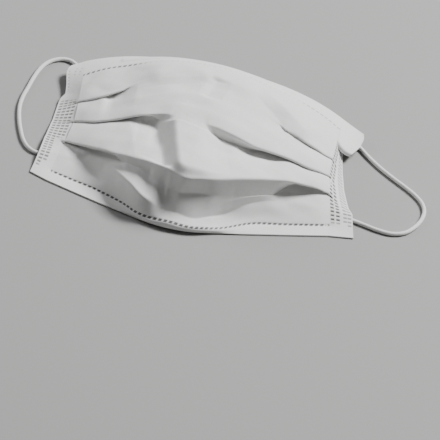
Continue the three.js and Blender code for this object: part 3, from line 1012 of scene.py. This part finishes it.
def seam_points(x, rows):
    """Points on the visible outside of the sheet at the seam, for the rows of a band."""
    lines = sheet_lines(np.array([x], dtype=float))
    pleat1, pleat2, pleat3 = lines["pleats"]
    fold, root3, lip3 = lines["fold"], pleat3["root"], pleat3["lip"]
    share = (lip3 - fold)[:, 1:2] / (root3 - fold)[:, 1:2]
    under_lip3 = between(fold, root3, share)
    to_tuck = np.minimum(share / CHIN_TUCK_SHARE, 1)
    under_lip3[:, 0] = between(fold, lines["chin_tuck"], to_tuck)[:, 0]
    named = {
        "chin": lines["chin"], "hem": lines["hem"], "fold": fold, "under_lip3": under_lip3, "lip3": lip3,
        "tuck2": pleat2["tuck"], "lip2": pleat2["lip"], "tuck1": pleat1["tuck"], "lip1": pleat1["lip"],
        "below_flap": np.array([BELOW_FLAP]),
    }
    points = []
    for row, _, _ in rows:
        if row in named:
            points.append(named[row])
        else:
            points.append(bulged(pleat1["lip"], lines["nose"], row, lines["brow_bulge"]))
    return np.vstack(points)


def spread(points, rows):
    """Points along straight stretches between the given ones, with each row's steps to the next."""
    line = []
    for a, b, (_, _, count) in zip(points, points[1:], rows):
        line += [between(a, b, share) for share in shares(count)]
    return np.vstack([*line, points[-1]])


def rounded(line, rounds):
    """The line with its corners smoothed and its ends kept."""
    line = line.copy()
    for _ in range(rounds):
        line[1:-1] = (line[:-2] + 2 * line[1:-1] + line[2:]) / 4
    return line


def band_grid(x, rows, outward):
    """A strip from the seam, where the weld presses the pleats flat, to the outer edge."""
    seam = seam_points(x, rows) + [outward * SEAM_GAP, 0, 0]
    inner = rounded(spread(seam, rows), 1)
    outer = rounded(spread(np.array([edge for _, edge, _ in rows], float), rows), EDGE_ROUNDS)
    share = np.linspace(0, 1, BAND_COLUMNS)[:, None, None]
    pressed = between(inner, rounded(inner, PRESS_ROUNDS), ease(share, 0, PRESS_SHARE))
    grid = between(pressed, outer, share)
    drop = 1 - (1 - share[..., 0]) ** BAND_CURL
    grid[..., 2] = between(pressed[..., 2], outer[:, 2], drop)
    return grid if outward > 0 else grid[::-1]


def band_marks(off, run, y, columns, pitch):
    """Weld marks in columns: off and run hold the distances from and along the outer edge and the seam."""
    marks = np.zeros(y.shape)
    for side, distance, low, high, strength, (half_across, half_along) in columns:
        place = (run[side] + pitch / 2) % pitch - pitch / 2
        column = bar(off[side] - distance, place, half_across, half_along, BAR_SOFT)
        marks += strength * column * window(y, low, high, COLUMN_SOFT)
    return np.minimum(marks, 1)


def band_shell(grid, outward, columns, pitch):
    """A closed piece from a band's grid, with its weld marks."""
    sides = {"edge": -1, "seam": 0} if outward > 0 else {"edge": 0, "seam": -1}
    across = np.linalg.norm(np.diff(grid, axis=0), axis=2)
    run_across = np.concatenate([np.zeros((1, grid.shape[1])), np.cumsum(across, axis=0)])
    off = {side: np.abs(run_across - run_across[column]) for side, column in sides.items()}
    run = {side: lengths_along(grid[column])[None, :] for side, column in sides.items()}
    marks = band_marks(off, run, grid[..., 1], columns, pitch)
    flat = np.stack([run_across, np.broadcast_to(run["edge"], run_across.shape)], axis=-1)
    return shell(grid, -MARK_DEPTH * marks, BAND_BELOW, flat, marks)


def flap_grid():
    """The right flap: a strip like the band's whose lower edge sags and rolls under."""
    grid = band_grid(LAST_X, RIGHT_FLAP, 1)
    share = np.linspace(0, 1, BAND_COLUMNS)[:, None]
    up_flap = np.linspace(1, 0, grid.shape[1])[None, :]
    grid[..., 1] -= FLAP_SAG * 4 * share * (1 - share) * up_flap ** 2
    edge = grid[:, 0]
    normal = grid_normals(grid)[:, 0]
    ahead = unit(edge - grid[:, 1])
    turns = np.linspace(FLAP_ROLL_TURN, 0, FLAP_ROLL_ROWS, endpoint=False)
    roll = [edge + FLAP_ROLL * (ahead * np.sin(turn) - normal * (1 - np.cos(turn))) for turn in turns]
    return np.concatenate([np.stack(roll, axis=1), grid], axis=1)


def make_bands():
    left_shell = band_shell(band_grid(FIRST_X, LEFT_BAND, -1), -1, LEFT_MARKS, LEFT_BAR_PITCH)
    left = new_object("band_left", left_shell)
    dress(left, BAND_CLOTH, "welded_band", "side_band_left")
    right_shell = band_shell(band_grid(LAST_X, RIGHT_BAND, 1), 1, RIGHT_MARKS, RIGHT_BAR_PITCH)
    flap_shell = band_shell(flap_grid(), 1, (), RIGHT_BAR_PITCH)
    right = new_object("band_right", joined(right_shell, flap_shell))
    dress(right, BAND_CLOTH, "welded_band", "side_band_right")
    return [left, right]


pleated_sheet = make_sheet()
trimmings = make_hems() + make_bands()


# Floor and light

FLOOR_SIZE = 40
FLOOR_GREY = 0.33
FLOOR_GRAIN = {"Scale": 1400.0, "Detail": 2.0}
FLOOR_GRAIN_SHARE = 0.03
FLOOR_ROUGHNESS = 0.95
FLOOR_SPECULAR = 0.1
KEY_PLACE = (0.98, 0.74, 1.4)
KEY_SIZE = 0.6
KEY_WATTS = 73
LEFT_PLACE = (-1.4, 0.4, 0.9)
LEFT_SIZE = 0.8
LEFT_WATTS = 10
SKY_STRENGTH = 0.08


def make_floor():
    nodes = Nodes("floor_paper")
    place = nodes.add("ShaderNodeTexCoord").outputs["Object"]
    grain = nodes.add("ShaderNodeTexNoise", {"Vector": place, **FLOOR_GRAIN}).outputs[0]
    dark = grey(FLOOR_GREY * (1 - FLOOR_GRAIN_SHARE))
    pale = grey(FLOOR_GREY * (1 + FLOOR_GRAIN_SHARE))
    nodes.put(nodes.shader.inputs["Base Color"], nodes.mix(grain, dark, pale))
    nodes.shader.inputs["Roughness"].default_value = FLOOR_ROUGHNESS
    nodes.shader.inputs["Specular IOR Level"].default_value = FLOOR_SPECULAR
    half = FLOOR_SIZE / 2
    corners = [(-half, -half, 0), (half, -half, 0), (half, half, 0), (-half, half, 0)]
    mesh = bpy.data.meshes.new("floor")
    mesh.from_pydata(corners, [], [(0, 1, 2, 3)])
    mesh.materials.append(nodes.material)
    floor = bpy.data.objects.new("floor", mesh)
    bpy.context.collection.objects.link(floor)


def make_light(name, place, size, watts):
    """A soft square light that shines on the mask and isn't seen itself."""
    data = bpy.data.lights.new(name, "AREA")
    data.size = size
    data.energy = watts
    light = bpy.data.objects.new(name, data)
    light.location = place
    light.rotation_euler = (-Vector(place)).to_track_quat("-Z", "Y").to_euler()
    light.visible_camera = False
    bpy.context.collection.objects.link(light)


def make_world(strength):
    world = bpy.data.worlds.new("studio")
    world.use_nodes = True
    background = world.node_tree.nodes["Background"]
    background.inputs["Color"].default_value = (1, 1, 1, 1)
    background.inputs["Strength"].default_value = strength
    bpy.context.scene.world = world


make_floor()
make_light("key", KEY_PLACE, KEY_SIZE, KEY_WATTS)
make_light("left", LEFT_PLACE, LEFT_SIZE, LEFT_WATTS)
make_world(SKY_STRENGTH)
